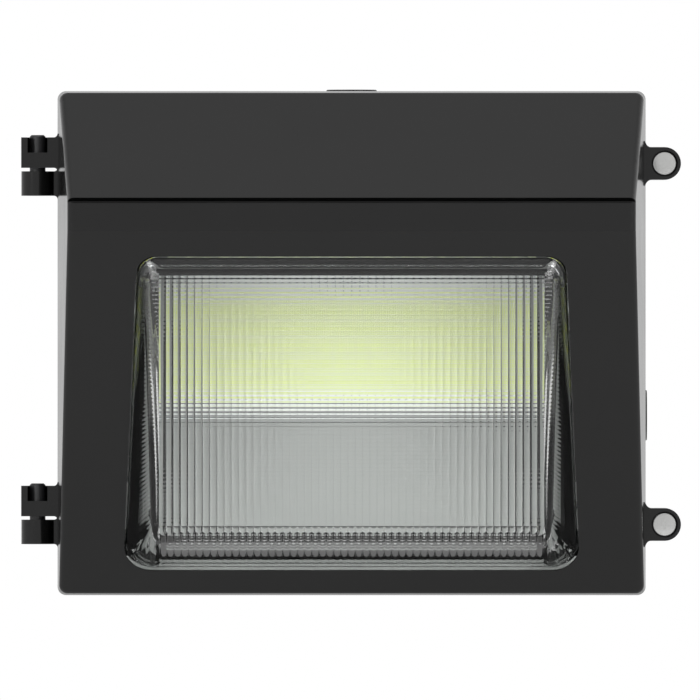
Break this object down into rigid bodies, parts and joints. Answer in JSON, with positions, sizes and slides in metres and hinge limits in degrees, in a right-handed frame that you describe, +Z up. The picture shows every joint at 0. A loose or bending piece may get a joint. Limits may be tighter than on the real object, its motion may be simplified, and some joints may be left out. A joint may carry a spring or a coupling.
{
  "type": "wall pack light",
  "caption": "Outdoor wall pack light: cast housing, hinged sloping hood with a prismatic glass refractor, LED board and driver inside, conduit entries with closure plugs.",
  "frame": {"origin": "middle of the back face, where the light stands on the wall", "axes": "+X right as seen from the front, +Y into the wall, +Z up; the light faces -Y"},
  "size_m": [0.3074, 0.187, 0.236],
  "materials": {
    "black_casting": "satin powder coat",
    "refractor_glass": "pressed prismatic glass",
    "black_silicone": "matt",
    "spring_steel": "satin",
    "zinc_screw": "satin zinc",
    "black_pin": "black oxide",
    "bright_steel": "bright",
    "white_nylon": "matt",
    "black_plug": "satin",
    "tray_paint": "satin",
    "grey_pad": "matt",
    "board_mask": "satin solder mask",
    "led_phosphor": "phosphor silicone",
    "driver_aluminium": "brushed",
    "circuit_laminate": "solder mask",
    "component_case": "matt",
    "red_lead": "satin",
    "black_lead": "satin",
    "white_lead": "satin",
    "green_lead": "satin",
    "tinned_brass": "tinned",
    "green_screw": "lacquered",
    "orange_connector": "matt"
  },
  "bodies": {
    "housing": {"rear_housing": "black_casting", "led_tray": "tray_paint", "led_tray_screws": "zinc_screw", "thermal_pad": "grey_pad", "led_board": "board_mask", "led_emitters": "led_phosphor", "led_board_screws": "zinc_screw", "board_connector": "white_nylon", "driver_case": "driver_aluminium", "driver_lid": "driver_aluminium", "driver_circuit_board": "circuit_laminate", "driver_components": "component_case", "driver_screws": "zinc_screw", "output_lead_positive": "red_lead", "output_lead_negative": "black_lead", "supply_lead_line": "black_lead", "supply_lead_neutral": "white_lead", "ground_lead": "green_lead", "ground_tag": "tinned_brass", "ground_screw": "green_screw", "wire_connectors": "orange_connector", "lead_grommet": "black_silicone"},
    "cover": {"front_cover": "black_casting", "glass_refractor": "refractor_glass", "lens_gasket": "black_silicone", "lens_clips": "spring_steel", "lens_clip_screws": "zinc_screw", "cover_gasket": "black_silicone", "hinge_pin_upper": "black_pin", "hinge_pin_lower": "black_pin", "hinge_retaining_rings": "spring_steel", "cover_screw_washers": "bright_steel"},
    "upper_retainer": {"screw_retainer_upper": "white_nylon"},
    "upper_screw": {"cover_screw_upper": "bright_steel"},
    "lower_retainer": {"screw_retainer_lower": "white_nylon"},
    "lower_screw": {"cover_screw_lower": "bright_steel"},
    "top_seal": {"top_plug_seal": "black_silicone"},
    "top_plug": {"top_entry_plug": "black_plug"},
    "side_seal": {"side_plug_seal": "black_silicone"},
    "side_plug": {"side_entry_plug": "black_plug"}
  },
  "joints": [
    {"name": "cover_hinge", "type": "hinge", "parent": "housing", "child": "cover", "pos_m": [-0.1464, -0.08, 0], "axis": [0, 0, -1], "range_deg": [0, 130]},
    {"name": "upper_screw_travel", "type": "slide", "parent": "cover", "child": "upper_retainer", "axis": [0, -1, 0], "range_m": [0, 0.009]},
    {"name": "upper_screw_turn", "type": "hinge", "parent": "upper_retainer", "child": "upper_screw", "pos_m": [0.1458, -0.0935, 0.0837], "axis": [0, -1, 0], "range_deg": [0, 4050.1]},
    {"name": "lower_screw_travel", "type": "slide", "parent": "cover", "child": "lower_retainer", "axis": [0, -1, 0], "range_m": [0, 0.009]},
    {"name": "lower_screw_turn", "type": "hinge", "parent": "lower_retainer", "child": "lower_screw", "pos_m": [0.1458, -0.0935, -0.0845], "axis": [0, -1, 0], "range_deg": [0, 4050.1]},
    {"name": "top_plug_travel", "type": "slide", "parent": "housing", "child": "top_seal", "axis": [0, 0, 1], "range_m": [0, 0.012]},
    {"name": "top_plug_turn", "type": "hinge", "parent": "top_seal", "child": "top_plug", "pos_m": [0, -0.04, 0.1175], "axis": [0, 0, 1], "range_deg": [0, 2381.3]},
    {"name": "side_plug_travel", "type": "slide", "parent": "housing", "child": "side_seal", "axis": [1, 0, 0], "range_m": [0, 0.012]},
    {"name": "side_plug_turn", "type": "hinge", "parent": "side_seal", "child": "side_plug", "pos_m": [0.1371, -0.04, -0.0337], "axis": [1, 0, 0], "range_deg": [0, 2381.3]}
  ],
  "couplings": [
    {"joint": "upper_screw_turn", "follows": "upper_screw_travel", "rad_per_m": 7854},
    {"joint": "lower_screw_turn", "follows": "lower_screw_travel", "rad_per_m": 7854},
    {"joint": "top_plug_turn", "follows": "top_plug_travel", "rad_per_m": 3463.2},
    {"joint": "side_plug_turn", "follows": "side_plug_travel", "rad_per_m": 3463.2}
  ]
}
